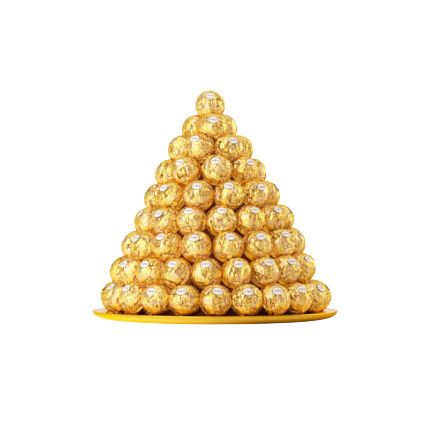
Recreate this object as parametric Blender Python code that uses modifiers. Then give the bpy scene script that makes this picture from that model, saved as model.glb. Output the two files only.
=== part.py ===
"""A tower of round chocolate pralines in gold foil on a round golden plate.

Nine tiers of pralines stand in rings, from twenty-one at the foot to one at
the top. Each ring is one solid: its pralines are fused to a slice of the
tower's plain core. The slices lie on each other, and the lowest stands on
the plate.

Frame: metres, +Z up, origin under the middle of the plate, where it stands.
The tower is seen from -Y.
"""

import math

import bmesh
import bpy
import numpy as np
from mathutils import Matrix, Vector

# ---- driving dimensions ----------------------------------------------------

GAP = 0.0003                # free play between two solids that meet

PRALINE_DIAMETER = 0.0316
PRALINE_SUBDIVISIONS = 2
TIER_PRESS = 0.0022         # how far two pralines of different tiers press together
RING_PRESS = 0.0028         # how far two neighbours in a ring may press together
PLATE_PRESS = 0.0003        # how far the lowest pralines press flat on the plate

# one row for each tier, from the top: how many pralines, the radius of the
# ring through their middles, the drop from the tier above, the angle of the
# first praline, counter-clockwise from -Y as seen from above, how far the
# ring's middle lies to +X, and how far the ring's sides at -X and at +X
# stand above its front
TIERS = (
    (1, 0.0000, 0.0000, 0.0, -0.0052, 0.0, 0.0),
    (3, 0.0165, 0.0251, 8.5, -0.0047, -0.0012, -0.0006),
    (6, 0.0316, 0.0214, -21.6, -0.0051, -0.0037, -0.0025),
    (8, 0.0441, 0.0243, 8.3, -0.0044, -0.0034, -0.0020),
    (11, 0.0582, 0.0272, 18.8, -0.0037, -0.0030, 0.0),
    (14, 0.0713, 0.0271, 6.5, -0.0012, -0.0024, 0.0016),
    (16, 0.0853, 0.0269, 10.3, -0.0015, -0.0014, 0.0024),
    (19, 0.0965, 0.0278, -3.9, -0.0025, -0.0008, 0.0032),
    (21, 0.1089, 0.0277, -0.2, 0.0008, 0.0, 0.0),
)

SETTLE_STEPS = 900          # rounds of pushing crowded pralines apart
SETTLE_FREE_STEPS = 200     # the last rounds, with no pull back to the ring
SETTLE_PUSH = 0.35
SETTLE_PULL = 0.03
FLATTEN_ROUNDS = 4

CORE_INSET = 0.0060         # core slice inside the ring through the pralines' middles
CORE_SIDES = 24
SEAM_MERGE = 0.0001         # corners of a fused seam that lie closer than this become one

PLATE_RADIUS = 0.1345
PLATE_FLOOR_Z = 0.0094
PLATE_FLOOR_RADIUS = 0.118
PLATE_RIM_Z = 0.0096
PLATE_LIP = 0.0014          # thickness of the lip at the rim
PLATE_FOOT_RADIUS = 0.114
PLATE_TOP_STEPS = 3
PLATE_LIP_STEPS = 2
PLATE_UNDER_STEPS = 4
PLATE_STEPS = 48

FOIL_SHARP_ANGLE = 45.0     # degrees between two faces that show as an edge
FOIL_COLOUR = (0.80, 0.50, 0.10, 1.0)
PLATE_COLOUR = (0.78, 0.48, 0.05, 1.0)

# ---- helpers ---------------------------------------------------------------


def clear_scene():
    for obj in list(bpy.data.objects):
        bpy.data.objects.remove(obj, do_unlink=True)


def new_collection(name):
    collection = bpy.data.collections.new(name)
    bpy.context.scene.collection.children.link(collection)
    return collection


def metal(name, colour, roughness):
    material = bpy.data.materials.new(name)
    material.use_nodes = True
    shader = material.node_tree.nodes["Principled BSDF"]
    shader.inputs["Base Color"].default_value = colour
    shader.inputs["Metallic"].default_value = 1.0
    shader.inputs["Roughness"].default_value = roughness
    return material


def mesh_object(name, bm, collection):
    mesh = bpy.data.meshes.new(name)
    bm.to_mesh(mesh)
    bm.free()
    obj = bpy.data.objects.new(name, mesh)
    collection.objects.link(obj)
    return obj


def shade_round(obj, sharp_degrees):
    obj.data.shade_smooth()
    obj.data.set_sharp_from_angle(angle=math.radians(sharp_degrees))


# ---- where the pralines lie ------------------------------------------------


def lowest_height():
    """Height of the lowest pralines' middles, pressed flat on the plate."""
    return PLATE_FLOOR_Z + PRALINE_DIAMETER / 2 - PLATE_PRESS


def ring_places():
    """Each praline's middle and tier, evenly spaced round its ring."""
    height = lowest_height() + sum(tier[2] for tier in TIERS)
    places = []
    tiers = []
    for tier, (count, radius, drop, first, aside, left, right) in enumerate(TIERS):
        height -= drop
        for number in range(count):
            angle = math.radians(first + 360.0 * number / count)
            x = radius * math.sin(angle)
            y = -radius * math.cos(angle)
            side = right if x > 0.0 else left
            places.append((aside + x, y, height + side * math.sin(angle) ** 2))
            tiers.append(tier)
    return np.array(places), np.array(tiers)


def settle(places, tiers):
    """Push crowded pralines apart until none is closer than it may be."""
    rings = places.copy()
    same_tier = tiers[:, None] == tiers[None, :]
    allowed = PRALINE_DIAMETER - np.where(same_tier, RING_PRESS, TIER_PRESS)
    on_plate = tiers == len(TIERS) - 1
    for step in range(SETTLE_STEPS):
        apart = places[:, None] - places[None, :]
        distance = np.linalg.norm(apart, axis=2)
        np.fill_diagonal(distance, np.inf)
        if step < SETTLE_STEPS - SETTLE_FREE_STEPS:
            places = places + (rings - places) * SETTLE_PULL
        short = np.maximum(allowed - distance, 0.0)
        push = (apart / distance[:, :, None] * short[:, :, None]).sum(axis=1)
        places = places + push * SETTLE_PUSH
        places[on_plate, 2] = rings[on_plate, 2]
    return places


def contacts(index, places, tiers):
    """Directions and distances at which a praline's foil is pressed flat."""
    touched = []
    for other in range(len(places)):
        apart = places[other] - places[index]
        distance = np.linalg.norm(apart)
        if tiers[other] != tiers[index] and distance < PRALINE_DIAMETER + GAP:
            touched.append((apart / distance, (distance - GAP) / 2))
    plate = places[index, 2] - PLATE_FLOOR_Z - GAP
    if plate < PRALINE_DIAMETER / 2:
        touched.append((np.array((0.0, 0.0, -1.0)), plate))
    return touched


# ---- pieces ----------------------------------------------------------------


def praline_mesh():
    """The round form that all the pralines start from."""
    bpy.ops.mesh.primitive_ico_sphere_add(
        subdivisions=PRALINE_SUBDIVISIONS,
        radius=PRALINE_DIAMETER / 2,
    )
    obj = bpy.context.object
    mesh = obj.data
    bpy.data.objects.remove(obj, do_unlink=True)
    return mesh


def praline(name, round_form, place, angle, touched, collection):
    """One praline, turned to face out of its ring and flat where it is pressed."""
    mesh = round_form.copy()
    mesh.transform(Matrix.Rotation(angle, 4, "Z"))
    for _ in range(FLATTEN_ROUNDS):
        for direction, reach in touched:
            normal = Vector(direction)
            for vertex in mesh.vertices:
                beyond = vertex.co.dot(normal) - reach
                if beyond > 0.0:
                    vertex.co -= normal * beyond
    obj = bpy.data.objects.new(name, mesh)
    obj.location = place
    collection.objects.link(obj)
    return obj


def core_slice(name, axis_x, radius, low, high, collection):
    bm = bmesh.new()
    bmesh.ops.create_cone(
        bm,
        cap_ends=True,
        segments=CORE_SIDES,
        radius1=radius,
        radius2=radius,
        depth=high - low,
    )
    obj = mesh_object(name, bm, collection)
    obj.location = (axis_x, 0.0, (low + high) / 2)
    return obj


def join_pralines(obj, loose):
    """Fuse the collection's pralines to a core slice and remove them."""
    union = obj.modifiers.new("pralines", "BOOLEAN")
    union.operation = "UNION"
    union.operand_type = "COLLECTION"
    union.collection = loose
    union.solver = "EXACT"
    bpy.context.view_layer.update()
    depsgraph = bpy.context.evaluated_depsgraph_get()
    fused = bpy.data.meshes.new_from_object(obj.evaluated_get(depsgraph))
    obj.modifiers.clear()
    obj.data = fused
    for piece in list(loose.objects):
        bpy.data.objects.remove(piece, do_unlink=True)
    bm = bmesh.new()
    bm.from_mesh(fused)
    bmesh.ops.remove_doubles(bm, verts=bm.verts[:], dist=SEAM_MERGE)
    bm.to_mesh(fused)
    bm.free()


def build_tiers(collection, loose, foil):
    places, tiers = ring_places()
    places = settle(places, tiers)
    radius = PRALINE_DIAMETER / 2
    undersides = [places[tiers == tier, 2].min() - radius for tier in range(len(TIERS))]
    undersides[-1] = PLATE_FLOOR_Z + GAP
    round_form = praline_mesh()
    for tier, (count, ring_radius, _, _, axis_x, _, _) in enumerate(TIERS):
        name = f"praline_tier_{tier + 1}"
        ring = np.flatnonzero(tiers == tier)
        if count == 1:
            touched = contacts(ring[0], places, tiers)
            obj = praline(name, round_form, places[ring[0]], 0.0, touched, collection)
        else:
            low = undersides[tier]
            high = undersides[tier - 1] - GAP
            obj = core_slice(name, axis_x, ring_radius - CORE_INSET, low, high, collection)
            for index in ring:
                x, y, _ = places[index]
                angle = math.atan2(y, x - axis_x)
                touched = contacts(index, places, tiers)
                praline("praline", round_form, places[index], angle, touched, loose)
            join_pralines(obj, loose)
        obj.data.materials.clear()
        obj.data.materials.append(foil)
        shade_round(obj, FOIL_SHARP_ANGLE)


def plate_profile():
    """The plate's section, from the middle of its top round to its foot."""
    top = [(0.0, PLATE_FLOOR_Z)]
    run = PLATE_RADIUS - PLATE_FLOOR_RADIUS
    rise = PLATE_RIM_Z - PLATE_FLOOR_Z
    for step in range(PLATE_TOP_STEPS):
        share = step / PLATE_TOP_STEPS
        top.append((PLATE_FLOOR_RADIUS + run * share, PLATE_FLOOR_Z + rise * share ** 2))
    lip = []
    half = PLATE_LIP / 2
    for step in range(PLATE_LIP_STEPS + 1):
        turn = math.pi * step / PLATE_LIP_STEPS
        lip.append(
            (PLATE_RADIUS - half + half * math.sin(turn), PLATE_RIM_Z - half + half * math.cos(turn))
        )
    under = []
    fall = PLATE_RIM_Z - PLATE_LIP
    width = PLATE_RADIUS - half - PLATE_FOOT_RADIUS
    for step in range(1, PLATE_UNDER_STEPS + 1):
        turn = math.pi / 2 * step / PLATE_UNDER_STEPS
        under.append((PLATE_FOOT_RADIUS + width * math.cos(turn), fall * (1.0 - math.sin(turn))))
    return top + lip + under + [(0.0, 0.0)]


def build_plate(collection, gold):
    bm = bmesh.new()
    corners = [bm.verts.new((r, 0.0, z)) for r, z in plate_profile()]
    for first, second in zip(corners, corners[1:]):
        bm.edges.new((first, second))
    obj = mesh_object("serving_plate", bm, collection)
    obj.data.materials.append(gold)
    turn = obj.modifiers.new("turn", "SCREW")
    turn.steps = PLATE_STEPS
    turn.render_steps = PLATE_STEPS
    turn.use_merge_vertices = True
    turn.merge_threshold = 0.00001
    turn.use_smooth_shade = True
    return obj


def main():
    clear_scene()
    tower = new_collection("praline_tower")
    loose = new_collection("loose_pralines")
    foil = metal("gold_foil", FOIL_COLOUR, 0.35)
    gold = metal("gold_lacquer", PLATE_COLOUR, 0.30)
    build_tiers(tower, loose, foil)
    build_plate(tower, gold)
    bpy.data.collections.remove(loose)


main()
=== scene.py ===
import math
from collections import namedtuple

import bpy
import numpy as np
from mathutils import Matrix, Vector


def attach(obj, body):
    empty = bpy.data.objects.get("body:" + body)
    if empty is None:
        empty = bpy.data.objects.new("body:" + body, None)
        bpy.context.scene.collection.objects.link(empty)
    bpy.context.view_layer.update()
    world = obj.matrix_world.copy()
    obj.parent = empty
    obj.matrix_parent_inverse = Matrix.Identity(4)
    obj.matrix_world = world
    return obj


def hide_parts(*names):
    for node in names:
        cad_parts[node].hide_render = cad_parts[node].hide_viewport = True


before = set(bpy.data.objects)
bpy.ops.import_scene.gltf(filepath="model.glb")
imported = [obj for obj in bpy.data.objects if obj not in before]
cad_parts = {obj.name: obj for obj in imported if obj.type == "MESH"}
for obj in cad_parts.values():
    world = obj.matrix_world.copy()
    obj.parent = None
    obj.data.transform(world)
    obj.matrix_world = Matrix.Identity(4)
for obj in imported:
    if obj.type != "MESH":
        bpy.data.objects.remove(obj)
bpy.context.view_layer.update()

# A tower of round pralines in crumpled gold foil, laid in rings on a golden plate.

MM = 0.001
BODY = "root"

# ---- the tower's plan, as the solids have it -------------------------------

PRALINE_DIAMETER = 31.6 * MM
TIER_PRESS = 2.2 * MM               # how far two pralines of different tiers press together
RING_PRESS = 2.8 * MM               # how far two neighbours in a ring may press together
PLATE_PRESS = 0.3 * MM              # how far the lowest ring presses on the plate

# Each tier is a ring of count pralines, and drop is how far it lies below the tier above. first is
# its first praline's angle in degrees, aside is the X of its middle, and left and right say how
# far its sides at -X and +X stand above its front.
Ring = namedtuple("Ring", "count radius drop first aside left right")
TIERS = (
    Ring(1, 0.0, 0.0, 0.0, -5.2 * MM, 0.0, 0.0),
    Ring(3, 16.5 * MM, 25.1 * MM, 8.5, -4.7 * MM, -1.2 * MM, -0.6 * MM),
    Ring(6, 31.6 * MM, 21.4 * MM, -21.6, -5.1 * MM, -3.7 * MM, -2.5 * MM),
    Ring(8, 44.1 * MM, 24.3 * MM, 8.3, -4.4 * MM, -3.4 * MM, -2.0 * MM),
    Ring(11, 58.2 * MM, 27.2 * MM, 18.8, -3.7 * MM, -3.0 * MM, 0.0),
    Ring(14, 71.3 * MM, 27.1 * MM, 6.5, -1.2 * MM, -2.4 * MM, 1.6 * MM),
    Ring(16, 85.3 * MM, 26.9 * MM, 10.3, -1.5 * MM, -1.4 * MM, 2.4 * MM),
    Ring(19, 96.5 * MM, 27.8 * MM, -3.9, -2.5 * MM, -0.8 * MM, 3.2 * MM),
    Ring(21, 108.9 * MM, 27.7 * MM, -0.2, 0.8 * MM, 0.0, 0.0),
)
SETTLE_STEPS = 900
SETTLE_FREE_STEPS = 200             # the last steps, without the pull back to the rings
SETTLE_PUSH = 0.35                  # share of an overlap that a praline moves in one step
SETTLE_PULL = 0.03                  # share of the way back to its place in the ring

PLATE_RADIUS = 134.5 * MM
PLATE_FLOOR_Z = 9.4 * MM
PLATE_FLOOR_RADIUS = 118.0 * MM
PLATE_RIM_Z = 9.6 * MM
PLATE_LIP = 1.4 * MM
PLATE_FOOT_RADIUS = 114.0 * MM
PLATE_SIDES = 180
PLATE_UNDER_STEPS = 16
PLATE_LIP_STEPS = 8
PLATE_RIM_STEPS = 12

CORE_INSET = 6.0 * MM               # from the middles of a ring's pralines in to the core
CORE_SINK = 0.1 * MM                # into the plate's floor
CORE_TIP_RADIUS = 2.0 * MM
CORE_SIDES = 64
TURNED_EDGE_ANGLE = 35.0            # sharper edges of the plate and the core aren't smoothed

# ---- foil ------------------------------------------------------------------

FOIL_RADIUS = 16.2 * MM
FOIL_REACH = 17.0 * MM              # no fold stands further out than this
FOIL_SIZES = (1.02, 1.02, 1.01, 1.035, 1.035, 1.035, 1.04, 1.04, 1.075)  # of each tier's copies
LARGEST_REACH = FOIL_REACH * max(FOIL_SIZES)
SIZE_JITTER = 0.008
FLAT_GAP = 0.03 * MM                # between two foils pressed together
PRESS_ROUNDS = 3                    # each flat is pressed again after its neighbours

FOIL_MODELS = 14
FOIL_SEED = 100
TOWER_SEED = 7
FOIL_SUBDIVISIONS = 7
FOIL_FACES = 8600                   # left of each praline's foil once flat facets are joined
FOIL_EDGE_ANGLE = 22.0

FoilStyle = namedtuple("FoilStyle", "bold small creases pleats")
FOIL_STYLES = (                     # how high each kind of fold is
    FoilStyle(0.20 * MM, 0.10 * MM, 0.26 * MM, 0.05 * MM),
    FoilStyle(0.14 * MM, 0.13 * MM, 0.30 * MM, 0.04 * MM),
    FoilStyle(0.15 * MM, 0.10 * MM, 0.24 * MM, 0.14 * MM),
)
WAVE_SPREAD = (0.75, 1.3)           # shortest and longest, in shares of the length asked for
FOLD_SPREAD = (0.75, 1.35)
PATCH_EDGE = 0.6                    # how far into the waves a patch's soft edge goes
BOLD_LENGTHS = (8.0, 11.0)          # shortest and longest, in millimetres, and so below
SMALL_LENGTHS = (3.6, 4.6)
VALLEY_LENGTHS = (7.0, 9.0)
SHORT_VALLEY_LENGTHS = (4.5, 6.0)
RIDGE_LENGTHS = (5.0, 7.0)
CREASE_STRETCH = (1.0, 1.0, 0.6)    # creases run rather down from the seal than round it
PLEAT_COUNTS = (15, 25)             # fewest, and one more than the most
SWELL_HEIGHT = 0.26 * MM            # of the ball's slow unevenness
SWELL_LENGTH = 24.0 * MM
BED_DEPTH = 0.25 * MM               # how far the foil is pressed in under the seal
BED_CALM = 0.9                      # share of their height that folds lack there
TIGHT_CALM = 0.4                    # and where the foil is drawn tight
TIGHT_SMOOTH = 0.45                 # share of the fine wrinkles that tight foil lacks
CALM_CRUMPLED = 0.14                # share of them that calm stretches have
CRUMPLED_LENGTH = 17.0 * MM
CRUMPLED_WAVES = (-0.28, 0.45)      # where the waves are calm, and where fully crumpled
CREST_HEIGHTS = (-0.26 * MM, 0.22 * MM)  # of a valley's bottom and of a crest's top
CREST_FLAT = 0.6                    # from 0 in a valley to 1 on a crest, what flat foil counts as

# Angles from the seal's middle, in degrees: where a thing begins, and where it is full.
FREE_ANGLES = (20.0, 30.0)          # foil that isn't pressed down by the seal
PLEAT_ANGLES = (24.0, 50.0)
TIGHT_ANGLES = (60.0, 115.0)        # foil drawn tight below, with lower folds

# ---- seals -----------------------------------------------------------------

SEAL_HALF_WIDTH = 5.7 * MM
SEAL_HALF_HEIGHT = 4.65 * MM
SEAL_RADIUS = 16.35 * MM            # the domed seal's outer face, from the praline's middle
SEAL_THICKNESS = 0.25 * MM
SEAL_SOFT_EDGE = 0.06 * MM
SEAL_SIDES = 40
SEAL_RINGS = (0.06, 0.10, 0.24, 0.28)  # widths, from the edge in, for a half width of 1
SEAL_EDGE_ANGLE = 40.0
SEAL_RISE = 38.5                    # degrees above level that a seal faces
SEAL_TURN_LEFT = 2.0                # the most degrees that seals at -X turn to the front
SEAL_TURN_RIGHT = 17.0              # and those at +X
SEAL_JITTER = 5.5                   # degrees that a seal's place and turn differ by chance
RISE_JITTER = 0.6                   # share of that for how far up it faces


# ---- small helpers ---------------------------------------------------------

def deselect():
    for obj in bpy.context.selected_objects:
        obj.select_set(False)


def only(obj):
    deselect()
    obj.select_set(True)
    bpy.context.view_layer.objects.active = obj


def apply_modifiers(obj):
    only(obj)
    for modifier in list(obj.modifiers):
        bpy.ops.object.modifier_apply(modifier=modifier.name)


def join(pieces, name):
    only(pieces[0])
    for piece in pieces:
        piece.select_set(True)
    if len(pieces) > 1:
        bpy.ops.object.join()
    joined = bpy.context.view_layer.objects.active
    joined.name = name
    joined.data.name = name
    return joined


def smooth_sides(obj, degrees):
    only(obj)
    bpy.ops.object.shade_smooth_by_angle(angle=math.radians(degrees))


def smoothstep(value, low, high):
    share = np.clip((value - low) / (high - low), 0.0, 1.0)
    return share * share * (3.0 - 2.0 * share)


def corners(mesh):
    flat = np.empty(len(mesh.vertices) * 3)
    mesh.vertices.foreach_get("co", flat)
    return flat.reshape(-1, 3)


def set_corners(mesh, points):
    mesh.vertices.foreach_set("co", points.ravel())
    mesh.update()


def set_attribute(mesh, name, values):
    mesh.attributes.new(name, "FLOAT", "POINT").data.foreach_set("value", values)


# ---- where the pralines lie, by the rule that the solids follow ------------

def ring_places():
    """Each praline's middle in its ring, and the number of its tier."""
    height = PLATE_FLOOR_Z + PRALINE_DIAMETER / 2 - PLATE_PRESS + sum(ring.drop for ring in TIERS)
    places = []
    tiers = []
    for tier, ring in enumerate(TIERS):
        height -= ring.drop
        for number in range(ring.count):
            angle = math.radians(ring.first + 360.0 * number / ring.count)
            x = ring.radius * math.sin(angle)
            y = -ring.radius * math.cos(angle)
            side = ring.right if x > 0.0 else ring.left
            places.append((ring.aside + x, y, height + side * math.sin(angle) ** 2))
            tiers.append(tier)
    return np.array(places), np.array(tiers)


def settle(places, tiers):
    """Push apart, step by step, what presses together too far."""
    rings = places.copy()
    same_tier = tiers[:, None] == tiers[None, :]
    allowed = PRALINE_DIAMETER - np.where(same_tier, RING_PRESS, TIER_PRESS)
    on_plate = tiers == len(TIERS) - 1
    for step in range(SETTLE_STEPS):
        apart = places[:, None] - places[None, :]
        distance = np.linalg.norm(apart, axis=2)
        np.fill_diagonal(distance, np.inf)
        if step < SETTLE_STEPS - SETTLE_FREE_STEPS:
            places = places + (rings - places) * SETTLE_PULL
        short = np.maximum(allowed - distance, 0.0)
        push = (apart / distance[:, :, None] * short[:, :, None]).sum(axis=1)
        places = places + push * SETTLE_PUSH
        places[on_plate, 2] = rings[on_plate, 2]
    return places


def contacts(index, places):
    """Directions and distances at which a praline's foil is pressed flat."""
    touched = []
    for other in range(len(places)):
        apart = places[other] - places[index]
        distance = np.linalg.norm(apart)
        if 0.0 < distance < 2 * LARGEST_REACH:
            touched.append((apart / distance, distance / 2 - FLAT_GAP))
    above_plate = places[index, 2] - PLATE_FLOOR_Z - FLAT_GAP
    if above_plate < LARGEST_REACH:
        touched.append((np.array((0.0, 0.0, -1.0)), above_plate))
    return touched


# ---- ways to add nodes -----------------------------------------------------

class Nodes:
    """Short ways to add nodes to a tree. An input takes another node's output or a plain value."""

    def __init__(self, tree):
        self.tree = tree

    def feed(self, node, inputs):
        for name, value in inputs.items():
            socket = node.inputs[name]
            if isinstance(value, bpy.types.NodeSocket):
                self.tree.links.new(value, socket)
            elif socket.type == "RGBA":
                socket.default_value = (*value, 1.0)
            else:
                socket.default_value = value

    def add(self, kind, inputs=None, **settings):
        node = self.tree.nodes.new(kind)
        for name, value in settings.items():
            setattr(node, name, value)
        self.feed(node, inputs or {})
        return node

    def place(self):
        return self.add("ShaderNodeTexCoord").outputs["Object"]

    def attribute(self, name):
        return self.add("ShaderNodeAttribute", attribute_name=name).outputs["Fac"]

    def seen(self):
        """1 for what is looked at, 0 for what is mirrored or gives light."""
        return self.add("ShaderNodeLightPath").outputs["Is Camera Ray"]

    def axis(self, place, letter):
        return self.add("ShaderNodeSeparateXYZ", {"Vector": place}).outputs[letter]

    def calc(self, operation, *values):
        node = self.add("ShaderNodeMath", dict(enumerate(values)), operation=operation)
        return node.outputs["Value"]

    def vector(self, operation, *values):
        node = self.add("ShaderNodeVectorMath", dict(enumerate(values)), operation=operation)
        return node.outputs["Value" if operation == "LENGTH" else "Vector"]

    def off_axis(self, place):
        """How far a place lies from the plate's upright middle line."""
        return self.vector("LENGTH", self.vector("MULTIPLY", place, (1.0, 1.0, 0.0)))

    def mask(self, value, none, full):
        """0 at none and before it, 1 at full and past it, and soft between."""
        inputs = {"Value": value, "From Min": none, "From Max": full}
        node = self.add("ShaderNodeMapRange", inputs, interpolation_type="SMOOTHSTEP")
        return node.outputs["Result"]

    def between(self, share, low, high):
        inputs = {"Value": share, "To Min": low, "To Max": high}
        return self.add("ShaderNodeMapRange", inputs).outputs["Result"]

    def mix(self, share, first, second):
        """From the first colour, at a share of 0, to the second, at 1."""
        inputs = {0: share, 6: first, 7: second}
        return self.add("ShaderNodeMix", inputs, data_type="RGBA").outputs[2]

    def ramp(self, share, low, middle, high):
        node = self.add("ShaderNodeValToRGB", {"Fac": share})
        stops = node.color_ramp.elements
        stops.new(0.5)
        for stop, colour in zip(stops, (low, middle, high)):
            stop.color = (*colour, 1.0)
        return node.outputs["Color"]

    def noise(self, place, scale, detail, roughness=0.5, distortion=0.0, output="Fac"):
        inputs = {
            "Vector": place, "Scale": scale, "Detail": detail,
            "Roughness": roughness, "Distortion": distortion,
        }
        return self.add("ShaderNodeTexNoise", inputs).outputs[output]

    def cells(self, place, scale, feature):
        """How far it is to the middles (F1) or to the edges of irregular cells."""
        inputs = {"Vector": place, "Scale": scale}
        return self.add("ShaderNodeTexVoronoi", inputs, feature=feature).outputs["Distance"]

    def bump(self, height, distance, **settings):
        inputs = {"Height": height, "Distance": distance}
        return self.add("ShaderNodeBump", inputs, **settings)


def new_material(name):
    material = bpy.data.materials.new(name)
    material.use_nodes = True
    return material, Nodes(material.node_tree), material.node_tree.nodes["Principled BSDF"]


# ---- gold foil -------------------------------------------------------------

GOLD_TONES = ((0.93, 0.615, 0.125), (0.96, 0.665, 0.165), (0.98, 0.72, 0.215))
GOLD_GLANCE = (0.90, 0.62, 0.12)    # where the foil is seen edge on
# The valley brown is painted shade in the folds' valleys, and the crest pale is a painted highlight
# on their crests.
VALLEY_SHADE_BROWN = (0.36, 0.18, 0.02)
CREST_HIGHLIGHT_PALE = (0.98, 0.90, 0.50)
PEACH = (0.93, 0.60, 0.34)

# A fold's height goes from 0 in a valley to 1 on a crest. The foil's colour takes painted shade in
# the valleys and a painted highlight on the crests from it.
VALLEY_SHADE_HEIGHTS = (0.32, -0.05)       # where brown begins, and where it is full
CREST_HIGHLIGHT_HEIGHTS = (0.60, 1.02)
CREST_HIGHLIGHT_SHARE = 0.9
PEACH_CLOUDS = (0.48, 0.60)
PEACH_SHARE = 0.85
CLOUD_SCALE = 120.0                 # this and the scales below are so many to the metre
GRAIN_SCALE = 450.0
SWAY_SCALE = 200.0
LARGE_WRINKLES = 130.0
SMALL_WRINKLES = 290.0
WRINKLE_STRETCH = (1.0, 1.0, 0.5)   # the wrinkles are drawn out upright
WRINKLE_SWAY = 2.4 * MM
LARGE_LINE = (0.06, 0.0)            # from the side of a wrinkle's line to its middle, in cells
SMALL_LINE = (0.07, 0.0)
SMALL_LINE_SHARE = 0.6
# A line lowers the height that the colour reads, so that wrinkle lines get painted shade.
LINE_HEIGHT = -0.45                 # what a line adds to a fold's height, for the colour
LARGE_FACET_DEPTH = 2.0             # these depths are in millimetres
SMALL_FACET_DEPTH = 0.5
LINE_DEPTH = 1.2
GRAIN_DEPTH = 0.12 * MM
FOIL_ROUGHNESS = (0.07, 0.18)


def wrinkle_places(nodes):
    """Places for the fine wrinkles: drawn out upright, and then also made to wander."""
    stretched = nodes.add("ShaderNodeMapping", {"Vector": nodes.place(), "Scale": WRINKLE_STRETCH})
    upright = stretched.outputs["Vector"]
    sway = nodes.noise(upright, SWAY_SCALE, detail=1.0, output="Color")
    return upright, nodes.vector("MULTIPLY_ADD", sway, (WRINKLE_SWAY,) * 3, upright)


def wrinkle_lines(nodes, bent, crumpled):
    """1 along the edges of large cells, less along those of small ones."""
    large = nodes.mask(nodes.cells(bent, LARGE_WRINKLES, "DISTANCE_TO_EDGE"), *LARGE_LINE)
    small = nodes.mask(nodes.cells(bent, SMALL_WRINKLES, "DISTANCE_TO_EDGE"), *SMALL_LINE)
    small = nodes.calc("MULTIPLY", small, SMALL_LINE_SHARE)
    return nodes.calc("MULTIPLY", nodes.calc("MAXIMUM", large, small), crumpled)


def foil_colour(nodes, lines, cloud):
    """Gold, with painted shade in the valleys and along the wrinkle lines, peach in clouds, and a
    painted highlight on the crests.
    """
    height = nodes.calc("MULTIPLY_ADD", lines, LINE_HEIGHT, nodes.attribute("crest"))
    gold = nodes.ramp(nodes.attribute("tone"), *GOLD_TONES)
    colour = nodes.mix(nodes.mask(height, *VALLEY_SHADE_HEIGHTS), gold, VALLEY_SHADE_BROWN)
    peach = nodes.calc("MULTIPLY", nodes.mask(cloud, *PEACH_CLOUDS), PEACH_SHARE)
    colour = nodes.mix(peach, colour, PEACH)
    # Painted highlight: the crests go pale, as if they caught the light.
    crest_highlight = nodes.calc("MULTIPLY", nodes.mask(height, *CREST_HIGHLIGHT_HEIGHTS), CREST_HIGHLIGHT_SHARE)
    return nodes.mix(crest_highlight, colour, CREST_HIGHLIGHT_PALE)


def foil_relief(nodes, upright, bent, lines, crumpled):
    """Facets and lines that are too fine for the mesh, under a faint grain."""
    facets = nodes.calc("MULTIPLY", nodes.cells(bent, LARGE_WRINKLES, "F1"), LARGE_FACET_DEPTH)
    small = nodes.cells(bent, SMALL_WRINKLES, "F1")
    facets = nodes.calc("MULTIPLY_ADD", small, SMALL_FACET_DEPTH, facets)
    facets = nodes.calc("MULTIPLY", facets, crumpled)
    depth = nodes.calc("MULTIPLY_ADD", lines, LINE_DEPTH, facets)
    dented = nodes.bump(depth, MM, invert=True)
    grain = nodes.noise(upright, GRAIN_SCALE, detail=1.0, distortion=0.4)
    grained = nodes.bump(grain, GRAIN_DEPTH)
    nodes.feed(grained, {"Normal": dented.outputs["Normal"]})
    return grained.outputs["Normal"]


def gold_foil():
    """Thin gold foil with fine wrinkles, most of them where the mesh says it is crumpled."""
    material, nodes, shader = new_material("gold_foil")
    crumpled = nodes.attribute("crumpled")
    upright, bent = wrinkle_places(nodes)
    lines = wrinkle_lines(nodes, bent, crumpled)
    cloud = nodes.noise(nodes.place(), CLOUD_SCALE, detail=4.0, roughness=0.6)
    nodes.feed(shader, {
        "Base Color": foil_colour(nodes, lines, cloud),
        "Normal": foil_relief(nodes, upright, bent, lines, crumpled),
        "Roughness": nodes.between(cloud, *FOIL_ROUGHNESS),
        "Metallic": 1.0,
        "Specular Tint": GOLD_GLANCE,
    })
    return material


# ---- paper, core and lacquer -----------------------------------------------

PAPER = (0.93, 0.90, 0.83)
PRINT_GREY = (0.36, 0.28, 0.26)
BORDER_AND_EDGE_SHADE_BROWN = (0.20, 0.12, 0.02)
PRINT_SPREAD = (2.0, 2.0, 0.0)      # the map's 0 to 1 becomes about -1 to 1,
PRINT_SHIFT = (-1.04, -0.98, 0.0)   # with the print a little off the paper's middle
BORDER_AND_EDGE_SHADE_RING = (0.86, 0.90)
MIDDLE_LOZENGE = (0.25, 0.36)       # half width and half height
SIDE_LOZENGE = (0.23, 0.30)
SIDE_LOZENGE_PLACE = 0.47
LOZENGE_EDGE = (1.08, 0.92)
PAPER_ROUGHNESS = 0.45

# The core's browns are painted shade in the gaps, and its glows are painted light.
CORE_SHADE_BROWNS = ((0.085, 0.020, 0.007), (0.15, 0.034, 0.013))
CORE_GLOWS = ((0.16, 0.07, 0.018), (0.95, 0.60, 0.19))
CORE_FOOT_GLOW = (0.02, 0.01, 0.0)
CORE_FOOT = (20.0 * MM, 34.0 * MM)
CORE_MOTTLE_SCALE = 60.0
CORE_MOTTLE = (0.38, 0.62)
CORE_ROUGHNESS = 0.8
BLACK = (0.0, 0.0, 0.0)

LACQUER_FOOT_REFLECTION_GOLD = (0.92, 0.62, 0.08)
LACQUER_SIDE_GOLD = (0.82, 0.475, 0.035)
LACQUER_INNER_GOLD = (0.72, 0.47, 0.12)
LACQUER_GLANCE = (0.95, 0.62, 0.18)
LACQUER_FOOT_REFLECTION_FADE = (3.0 * MM, 8.0 * MM)
LACQUER_INSIDE = (130.0 * MM, 118.0 * MM)
LACQUER_CLOUD_SCALE = 25.0
LACQUER_ROUGHNESS = (0.10, 0.17)


def lozenge(nodes, across, along, half_sizes):
    """Under 1 inside a lozenge, 1 on its edge and more outside."""
    half_width, half_height = half_sizes
    wide = nodes.calc("DIVIDE", across, half_width)
    high = nodes.calc("DIVIDE", along, half_height)
    return nodes.calc("ADD", wide, high)


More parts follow.
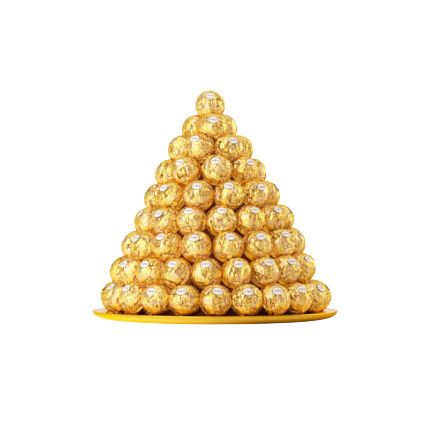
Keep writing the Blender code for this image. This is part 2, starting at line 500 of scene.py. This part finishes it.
def seal_paper():
    """White paper with a plain ornament of three lozenges, and a thin dark border round it that is
    partly a printed rim and partly painted shade along the seal's edge.
    """
    material, nodes, shader = new_material("seal_paper")
    uv = nodes.add("ShaderNodeUVMap", uv_map="seal").outputs["UV"]
    place = nodes.vector("MULTIPLY_ADD", uv, PRINT_SPREAD, PRINT_SHIFT)
    across = nodes.calc("ABSOLUTE", nodes.axis(place, "X"))
    along = nodes.calc("ABSOLUTE", nodes.axis(place, "Y"))
    from_side = nodes.calc("ABSOLUTE", nodes.calc("SUBTRACT", across, SIDE_LOZENGE_PLACE))
    middle = lozenge(nodes, across, along, MIDDLE_LOZENGE)
    side = lozenge(nodes, from_side, along, SIDE_LOZENGE)
    ornament = nodes.mask(nodes.calc("MINIMUM", middle, side), *LOZENGE_EDGE)
    # The dark border: partly print, partly painted shade along the seal's edge.
    border_and_shade = nodes.mask(nodes.vector("LENGTH", place), *BORDER_AND_EDGE_SHADE_RING)
    printed = nodes.mix(ornament, PAPER, PRINT_GREY)
    nodes.feed(shader, {
        "Base Color": nodes.mix(border_and_shade, printed, BORDER_AND_EDGE_SHADE_BROWN),
        "Roughness": PAPER_ROUGHNESS,
    })
    return material


def dark_core():
    """Dark brown, painted shade that shows in the gaps between the pralines. It also glows, but only
    in what the foil mirrors: painted warm light that goes round between the pralines.
    """
    material, nodes, shader = new_material("dark_core")
    place = nodes.place()
    mottle = nodes.noise(place, CORE_MOTTLE_SCALE, detail=3.0)
    glow = nodes.mix(nodes.mask(mottle, *CORE_MOTTLE), *CORE_GLOWS)
    glow = nodes.mix(nodes.mask(nodes.axis(place, "Z"), *CORE_FOOT), CORE_FOOT_GLOW, glow)
    nodes.feed(shader, {
        "Base Color": nodes.mix(mottle, *CORE_SHADE_BROWNS),
        # Painted light: the core glows only where it is mirrored, never where it is looked at.
        "Emission Color": nodes.mix(nodes.seen(), glow, BLACK),
        "Emission Strength": 1.0,
        "Roughness": CORE_ROUGHNESS,
        "Specular IOR Level": 0.0,
    })
    return material


def gold_lacquer():
    """Glossy gold, paler at the plate's foot as a painted reflection of the bright floor, and duller
    on its inside.
    """
    material, nodes, shader = new_material("gold_lacquer")
    place = nodes.place()
    cloud = nodes.noise(place, LACQUER_CLOUD_SCALE, detail=2.0)
    above_foot = nodes.mask(nodes.axis(place, "Z"), *LACQUER_FOOT_REFLECTION_FADE)
    inside = nodes.mask(nodes.off_axis(place), *LACQUER_INSIDE)
    # Painted reflection: the foot's paler gold stands in for the bright floor that it mirrors.
    colour = nodes.mix(above_foot, LACQUER_FOOT_REFLECTION_GOLD, LACQUER_SIDE_GOLD)
    nodes.feed(shader, {
        "Base Color": nodes.mix(inside, colour, LACQUER_INNER_GOLD),
        "Roughness": nodes.between(cloud, *LACQUER_ROUGHNESS),
        "Metallic": 1.0,
        "Specular Tint": LACQUER_GLANCE,
    })
    return material


# ---- one praline's foil ----------------------------------------------------

def random_direction(rng):
    along = rng.normal(size=3)
    return along / np.linalg.norm(along)


def random_length(rng, lengths):
    return rng.uniform(*lengths) * MM


def waves(points, rng, wavelength, count):
    """A smooth random field, mostly between -1 and 1."""
    total = np.zeros(len(points))
    for _ in range(count):
        length = wavelength * rng.uniform(*WAVE_SPREAD)
        phase = rng.uniform(0, 2 * math.pi)
        total += np.sin(points @ random_direction(rng) * (2 * math.pi / length) + phase)
    return total * math.sqrt(2.0 / count) / 1.5


def zigzag(turns):
    """Straight folds: 1 on each ridge, -1 in each valley."""
    return 4.0 * np.abs(turns - np.floor(turns) - 0.5) - 1.0


def wander(points, rng, wavelength, strength):
    """Bend the straight folds a little, so that no two run alike."""
    aside = np.stack([waves(points, rng, wavelength, 4) for _ in range(3)], axis=1)
    return points + aside * strength


def patches(points, rng, wavelength):
    """A soft mask, 0 to 1, of calm and of crumpled stretches."""
    return smoothstep(waves(points, rng, wavelength, 5), -PATCH_EDGE, PATCH_EDGE)


def folds(points, rng, count, wavelength):
    """Straight folds laid over each other, as in a crushed and smoothed sheet."""
    total = np.zeros(len(points))
    for _ in range(count):
        length = wavelength * rng.uniform(*FOLD_SPREAD)
        total += zigzag(points @ random_direction(rng) / length + rng.random())
    return total / math.sqrt(count)


def squiggles(points, rng, wavelength, width):
    """Narrow lines that wander: 1 along each line, 0 in the stretches between."""
    off_line = np.abs(waves(points, rng, wavelength, 8))
    return 1.0 - smoothstep(off_line, 0.0, width)


def pleats(points, rng, count):
    """Folds that run down from the seal, where the foil is drawn together."""
    across = np.arctan2(points[:, 1], points[:, 0]) / (2 * math.pi)
    down = np.arccos(np.clip(points[:, 2] / np.linalg.norm(points, axis=1), -1.0, 1.0))
    sway = 0.5 * np.sin(2.0 * down + rng.uniform(0, 2 * math.pi))
    main = zigzag(across * count + sway)
    second = zigzag(across * (count * 2 - 3) - sway + rng.random())
    return 0.7 * main + 0.3 * second


def shards(points, bent, rng, style):
    """Bold flat folds, and the small ones on them. Both are lower in calm stretches."""
    bold = style.bold * folds(bent, rng, count=5, wavelength=random_length(rng, BOLD_LENGTHS))
    bold *= 0.55 + 0.45 * patches(points, rng, wavelength=22.0 * MM)
    small = style.small * folds(bent, rng, count=5, wavelength=random_length(rng, SMALL_LENGTHS))
    small *= 0.45 + 0.55 * patches(points, rng, wavelength=16.0 * MM)
    return bold, small


def creases(points, bent, rng):
    """Narrow lines: -1 along deep valleys, 0.4 along ridges and 0 between."""
    along = bent * CREASE_STRETCH
    valleys = squiggles(along, rng, random_length(rng, VALLEY_LENGTHS), width=0.24)
    short = squiggles(along, rng, random_length(rng, SHORT_VALLEY_LENGTHS), width=0.26)
    valleys = np.maximum(valleys, 0.8 * short)
    valleys *= patches(points, rng, wavelength=9.0 * MM)
    ridges = 0.4 * squiggles(along, rng, random_length(rng, RIDGE_LENGTHS), width=0.22)
    return ridges - valleys


def crumple(mesh, number):
    """Make a plain ball a crumpled foil, with the seal's bed at +Z."""
    rng = np.random.default_rng(FOIL_SEED + number)
    style = FOIL_STYLES[number % len(FOIL_STYLES)]
    points = corners(mesh)
    out = points / np.linalg.norm(points, axis=1)[:, None]
    down = np.degrees(np.arccos(np.clip(out[:, 2], -1.0, 1.0)))
    bed = 1.0 - smoothstep(down, *FREE_ANGLES)
    tight = smoothstep(down, *TIGHT_ANGLES)

    bent = wander(points, rng, wavelength=15.0 * MM, strength=1.0 * MM)
    bold, fine = shards(points, bent, rng, style)
    fine += style.creases * creases(points, bent, rng)
    # The crest height also places the painted colour: shade in the valleys, a highlight on the
    # crests.
    crest = smoothstep(0.35 * bold + fine, *CREST_HEIGHTS)

    rise = bold + fine
    pleated = pleats(bent, rng, int(rng.integers(*PLEAT_COUNTS)))
    rise += style.pleats * pleated * smoothstep(down, *PLEAT_ANGLES)
    rise += SWELL_HEIGHT * waves(points, rng, SWELL_LENGTH, 5)
    rise = rise * (1.0 - BED_CALM * bed) - BED_DEPTH * bed
    rise *= 1.0 - TIGHT_CALM * tight

    crumpled = smoothstep(waves(points, rng, CRUMPLED_LENGTH, 5), *CRUMPLED_WAVES)
    crumpled = CALM_CRUMPLED + (1.0 - CALM_CRUMPLED) * crumpled
    crumpled *= 1.0 - TIGHT_SMOOTH * tight
    # Tight and calm foil gets a middling height, so less painted shade and highlight.
    crest += (CREST_FLAT - crest) * np.maximum(0.7 * tight, 0.35 * (1.0 - crumpled))

    distance = np.minimum(FOIL_RADIUS + rise, FOIL_REACH)
    set_corners(mesh, out * distance[:, None])
    set_attribute(mesh, "crest", crest)
    set_attribute(mesh, "crumpled", crumpled)


def foil_model(number):
    deselect()
    bpy.ops.mesh.primitive_ico_sphere_add(subdivisions=FOIL_SUBDIVISIONS, radius=FOIL_RADIUS)
    obj = bpy.context.object
    obj.name = f"foil_model_{number}"
    crumple(obj.data, number)
    flat = obj.modifiers.new("flat_facets", "DECIMATE")
    flat.ratio = FOIL_FACES / len(obj.data.polygons)
    apply_modifiers(obj)
    smooth_sides(obj, FOIL_EDGE_ANGLE)
    return obj


# ---- one seal --------------------------------------------------------------

def domed(x, y):
    """Where a point of the flat round pattern lies on the oval, domed seal."""
    east = x * SEAL_HALF_WIDTH / SEAL_RADIUS
    north = y * SEAL_HALF_HEIGHT / SEAL_RADIUS
    tilt = math.hypot(east, north)
    share = math.sin(tilt) / tilt if tilt else 1.0
    return Vector((east * share, north * share, math.cos(tilt))) * SEAL_RADIUS


def seal_model():
    deselect()
    bpy.ops.mesh.primitive_circle_add(vertices=SEAL_SIDES, radius=1.0, fill_type="NGON")
    obj = bpy.context.object
    obj.name = "seal_model"
    bpy.ops.object.mode_set(mode="EDIT")
    bpy.ops.mesh.select_all(action="SELECT")
    for width in SEAL_RINGS:
        bpy.ops.mesh.inset(thickness=width)
    bpy.ops.mesh.poke()
    bpy.ops.object.mode_set(mode="OBJECT")
    mesh = obj.data
    pattern = [(vertex.co.x, vertex.co.y) for vertex in mesh.vertices]
    uv = mesh.uv_layers.new(name="seal")
    for loop in mesh.loops:
        x, y = pattern[loop.vertex_index]
        uv.data[loop.index].uv = (0.5 + 0.5 * x, 0.5 + 0.5 * y)
    for vertex, (x, y) in zip(mesh.vertices, pattern):
        vertex.co = domed(x, y)
    wall = obj.modifiers.new("paper", "SOLIDIFY")
    wall.thickness = SEAL_THICKNESS
    wall.offset = -1.0
    soft = obj.modifiers.new("edge", "BEVEL")
    soft.width = SEAL_SOFT_EDGE
    soft.segments = 1
    soft.limit_method = "ANGLE"
    apply_modifiers(obj)
    smooth_sides(obj, SEAL_EDGE_ANGLE)
    return obj


# ---- the tower -------------------------------------------------------------

def facing(angle, rise, roll):
    """Turn a model so that its +Z, the seal, faces out of the ring and up."""
    out = Vector((
        math.sin(angle) * math.cos(rise),
        -math.cos(angle) * math.cos(rise),
        math.sin(rise),
    ))
    level = Vector((math.cos(angle), math.sin(angle), 0.0))
    up = out.cross(level)
    turn = Matrix((level, up, out)).transposed()
    return turn @ Matrix.Rotation(roll, 3, "Z")


def copy_of(model):
    copy = model.copy()
    copy.data = model.data.copy()
    bpy.context.scene.collection.objects.link(copy)
    return copy


def placed_foil(model, turn, size, place, touched, tone):
    """A praline's foil, turned, and pressed flat where it touches its neighbours."""
    copy = copy_of(model)
    points = corners(copy.data) @ np.array(turn).T * size
    for _ in range(PRESS_ROUNDS):
        for direction, reach in touched:
            beyond = np.maximum(points @ direction - reach, 0.0)
            points -= beyond[:, None] * direction[None, :]
    set_corners(copy.data, points + place)
    set_attribute(copy.data, "tone", np.full(len(points), tone))
    return copy


def placed_seal(model, turn, size, place):
    copy = copy_of(model)
    set_corners(copy.data, corners(copy.data) @ np.array(turn).T * size + place)
    return copy


def mixed_models(models, rng):
    """The foil models without end, and all of them before any comes again."""
    while True:
        for number in reversed(rng.permutation(len(models))):
            yield models[number]


def placed_praline(index, places, tier, model, seal, rng):
    """A praline's foil and seal. The seal faces out of the ring and up, and no two quite alike."""
    place = places[index]
    ring = TIERS[tier]
    angle = math.atan2(place[0] - ring.aside, -place[1]) if ring.count > 1 else 0.0
    to_front = math.radians(SEAL_TURN_RIGHT if angle > 0.0 else SEAL_TURN_LEFT)
    turned = angle - to_front * math.sin(2.0 * angle)
    turned += math.radians(rng.normal() * SEAL_JITTER)
    rise = math.radians(SEAL_RISE + rng.normal() * SEAL_JITTER * RISE_JITTER)
    roll = math.radians(rng.normal() * SEAL_JITTER)
    spin = rng.uniform(0, 2 * math.pi)
    size = FOIL_SIZES[tier] * (1.0 + rng.normal() * SIZE_JITTER)
    tone = rng.random()
    touched = contacts(index, places)
    return (
        placed_foil(model, facing(turned, rise, spin), size, place, touched, tone),
        placed_seal(seal, facing(turned, rise, roll), size, place),
    )


def build_tower(foil, paper):
    """Foil and seals of each tier, each joined into one piece."""
    places, tiers = ring_places()
    places = settle(places, tiers)
    rng = np.random.default_rng(TOWER_SEED)
    models = [foil_model(number) for number in range(FOIL_MODELS)]
    seal = seal_model()
    next_model = mixed_models(models, rng)
    for tier in range(len(TIERS)):
        foils = []
        seals = []
        for index in np.flatnonzero(tiers == tier):
            wrapper, label = placed_praline(index, places, tier, next(next_model), seal, rng)
            foils.append(wrapper)
            seals.append(label)
        foil_piece = join(foils, f"foil_tier_{tier + 1}")
        seal_piece = join(seals, f"seals_tier_{tier + 1}")
        for piece, material, slot in (
            (foil_piece, foil, "gold_foil"),
            (seal_piece, paper, "label_paper"),
        ):
            piece.data.materials.clear()
            piece.data.materials.append(material)
            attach(piece, BODY)
        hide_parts(f"praline_tier_{tier + 1}")
    for model in models + [seal]:
        bpy.data.objects.remove(model, do_unlink=True)
    return places, tiers


def turned_piece(name, profile, sides, material):
    """Raise a round piece from its foot. The profile is (radius, height) pairs."""
    deselect()
    radius, height = profile[0]
    bpy.ops.mesh.primitive_circle_add(
        vertices=sides, radius=radius, fill_type="NGON", location=(0.0, 0.0, height)
    )
    obj = bpy.context.object
    obj.name = name
    bpy.ops.object.transform_apply(location=True, rotation=False, scale=False)
    bpy.ops.object.mode_set(mode="EDIT")
    bpy.ops.mesh.select_all(action="SELECT")
    for next_radius, next_height in profile[1:]:
        bpy.ops.mesh.extrude_region_move(
            TRANSFORM_OT_translate={"value": (0.0, 0.0, next_height - height)}
        )
        share = next_radius / radius
        bpy.ops.transform.resize(value=(share, share, 1.0), center_override=(0.0, 0.0, 0.0))
        radius, height = next_radius, next_height
    bpy.ops.mesh.poke()
    bpy.ops.mesh.select_all(action="SELECT")
    bpy.ops.mesh.normals_make_consistent(inside=False)
    bpy.ops.object.mode_set(mode="OBJECT")
    smooth_sides(obj, TURNED_EDGE_ANGLE)
    obj.data.materials.append(material)
    return obj


def build_core(places, tiers, material):
    """The tower's inside, dark as painted shade that shows in the gaps."""
    profile = [(TIERS[-1].radius - CORE_INSET, PLATE_FLOOR_Z - CORE_SINK)]
    for tier in range(len(TIERS) - 1, 0, -1):
        profile.append((TIERS[tier].radius - CORE_INSET, float(places[tiers == tier, 2].mean())))
    profile.append((CORE_TIP_RADIUS, places[0, 2] - FOIL_RADIUS))
    core = turned_piece("dark_core", profile, CORE_SIDES, material)
    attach(core, BODY)


def plate_profile():
    """Up the round underside, over the lip and in across the floor."""
    half = PLATE_LIP / 2
    fall = PLATE_RIM_Z - PLATE_LIP
    width = PLATE_RADIUS - half - PLATE_FOOT_RADIUS
    profile = []
    for step in range(PLATE_UNDER_STEPS, 0, -1):
        turn = math.pi / 2 * step / PLATE_UNDER_STEPS
        profile.append((PLATE_FOOT_RADIUS + width * math.cos(turn), fall * (1.0 - math.sin(turn))))
    for step in range(PLATE_LIP_STEPS, -1, -1):
        turn = math.pi * step / PLATE_LIP_STEPS
        profile.append(
            (PLATE_RADIUS - half + half * math.sin(turn), PLATE_RIM_Z - half + half * math.cos(turn))
        )
    run = PLATE_RADIUS - half - PLATE_FLOOR_RADIUS
    rise = PLATE_RIM_Z - PLATE_FLOOR_Z
    for step in range(PLATE_RIM_STEPS - 1, -1, -1):
        share = step / PLATE_RIM_STEPS
        profile.append((PLATE_FLOOR_RADIUS + run * share, PLATE_FLOOR_Z + rise * share ** 2))
    return profile


def build_plate(material):
    plate = turned_piece("gilded_plate", plate_profile(), PLATE_SIDES, material)
    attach(plate, BODY)
    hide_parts("serving_plate")


# ---- studio ----------------------------------------------------------------

FLOOR_SIZE = 8.0
FLOOR_COLOUR = (0.72, 0.62, 0.45)
FLOOR_ROUGHNESS = 0.9
# Painted light and shade of the floor, seen only in what the tower mirrors.
FLOOR_LIT = (0.80, 0.78, 0.74)
FLOOR_UNLIT = (0.05, 0.05, 0.05)
FLOOR_SHADE = (-0.14, 0.11)         # the X where the floor is lit, and where it is no more
UNDER_RIM = (0.143, 0.136)          # the plate's underside mirrors the floor within this circle
UNDER_RIM_LIT = (1.45, 1.30, 1.60)
UNDER_RIM_UNLIT = (0.03, 0.02, 0.01)
UNDER_RIM_SHADE = (-0.13, 0.06)

AROUND_FRONT = (0.55, 0.38, 0.265)
AROUND_BACK = (1.3, 1.27, 1.22)
AROUND_TURN = (0.0, 0.95)           # from beside the tower to behind it

SOFT_BOX_DISTANCE = 1.5
SOFT_BOX_AIM = Vector((0.0, 0.0, 0.12))
SoftBox = namedtuple("SoftBox", "name azimuth elevation width height radiance")
SOFT_BOXES = (                      # azimuth 0 is the camera's side, and 90 the tower's right
    SoftBox("key_left", -42.0, 16.0, 1.70, 2.3, 2.55),
    SoftBox("side_right", 114.0, 10.0, 1.1, 1.9, 2.2),
    SoftBox("top", -10.0, 78.0, 1.6, 1.4, 1.2),
)
TONE_CURVE = (                      # light, and how bright it is shown
    (0.0, 0.0), (0.25, 0.245), (0.5, 0.455), (1.0, 0.76), (1.5, 0.91), (2.0, 0.97), (3.0, 1.0),
)
WHITE = (3.6, 3.6, 3.6)             # well past what the tone curve shows as full white

IMAGE_SIZE = 430
CAMERA_DISTANCE = 2.4
CAMERA_HEIGHT = 134.6 * MM
CAMERA_SIGHT = 20.0                 # how far it sees
FOCAL_PIXELS = 2201.0
SENSOR = 36.0
HORIZON_ROW = 195.3


def floor_material():
    """White to look at. In what the tower mirrors, it glows with painted light: bright at the left,
    as if lit by the soft box there, and with painted shade at the right, which reaches in under the
    plate's rim.
    """
    material, nodes, shader = new_material("studio_floor")
    place = nodes.place()
    x = nodes.axis(place, "X")
    wide = nodes.mix(nodes.mask(x, *FLOOR_SHADE), FLOOR_LIT, FLOOR_UNLIT)
    close = nodes.mix(nodes.mask(x, *UNDER_RIM_SHADE), UNDER_RIM_LIT, UNDER_RIM_UNLIT)
    mirrored = nodes.mix(nodes.mask(nodes.off_axis(place), *UNDER_RIM), wide, close)
    nodes.feed(shader, {
        "Base Color": FLOOR_COLOUR,
        "Emission Color": nodes.mix(nodes.seen(), mirrored, WHITE),
        "Emission Strength": 1.0,
        "Roughness": FLOOR_ROUGHNESS,
        "Specular IOR Level": 0.0,
    })
    return material


def build_floor():
    deselect()
    bpy.ops.mesh.primitive_plane_add(size=FLOOR_SIZE, location=(0.0, 0.0, 0.0))
    floor = bpy.context.object
    floor.name = "studio_floor"
    floor.data.materials.append(floor_material())


def build_light(box):
    """A lit panel that faces the tower."""
    level = math.radians(box.azimuth)
    up = math.radians(box.elevation)
    away = Vector((math.sin(level) * math.cos(up), -math.cos(level) * math.cos(up), math.sin(up)))
    data = bpy.data.lights.new(box.name, "AREA")
    data.shape = "RECTANGLE"
    data.size = box.width
    data.size_y = box.height
    data.energy = box.radiance * math.pi * box.width * box.height
    light = bpy.data.objects.new(box.name, data)
    light.location = SOFT_BOX_AIM + away * SOFT_BOX_DISTANCE
    light.rotation_euler = away.to_track_quat("Z", "Y").to_euler()
    bpy.context.scene.collection.objects.link(light)


def build_world():
    """White to look at. In what the tower mirrors, it is dim at the front and pale behind."""
    world = bpy.data.worlds.new("studio")
    bpy.context.scene.world = world
    world.use_nodes = True
    nodes = Nodes(world.node_tree)
    way = nodes.add("ShaderNodeTexCoord").outputs["Generated"]
    behind = nodes.mask(nodes.axis(way, "Y"), *AROUND_TURN)
    around = world.node_tree.nodes["Background"]
    nodes.feed(around, {"Color": nodes.mix(behind, AROUND_FRONT, AROUND_BACK), "Strength": 1.0})
    backdrop = nodes.add("ShaderNodeBackground", {"Color": WHITE})
    choices = {0: nodes.seen(), 1: around.outputs[0], 2: backdrop.outputs[0]}
    chosen = nodes.add("ShaderNodeMixShader", choices)
    nodes.feed(world.node_tree.nodes["World Output"], {"Surface": chosen.outputs[0]})


def build_camera():
    data = bpy.data.cameras.new("camera")
    data.sensor_width = SENSOR
    data.lens = FOCAL_PIXELS / IMAGE_SIZE * SENSOR
    data.clip_end = CAMERA_SIGHT
    camera = bpy.data.objects.new("camera", data)
    camera.location = (0.0, -CAMERA_DISTANCE, CAMERA_HEIGHT)
    pitch = math.atan((IMAGE_SIZE / 2 - HORIZON_ROW) / FOCAL_PIXELS)
    camera.rotation_euler = (math.pi / 2 - pitch, 0.0, 0.0)
    bpy.context.scene.collection.objects.link(camera)
    bpy.context.scene.camera = camera


def build_view():
    """Soften the highlights as a camera does, so that bright gold goes pale and not flat."""
    view = bpy.context.scene.view_settings
    view.view_transform = "Standard"
    view.use_curve_mapping = True
    brightest = TONE_CURVE[-1][0]
    mapping = view.curve_mapping
    mapping.white_level = (brightest, brightest, brightest)
    points = mapping.curves[3].points
    for light, shown in TONE_CURVE[1:-1]:
        points.new(light / brightest, shown)
    mapping.update()


def main():
    build_view()
    places, tiers = build_tower(gold_foil(), seal_paper())
    build_core(places, tiers, dark_core())
    build_plate(gold_lacquer())
    build_floor()
    for box in SOFT_BOXES:
        build_light(box)
    build_world()
    build_camera()


main()
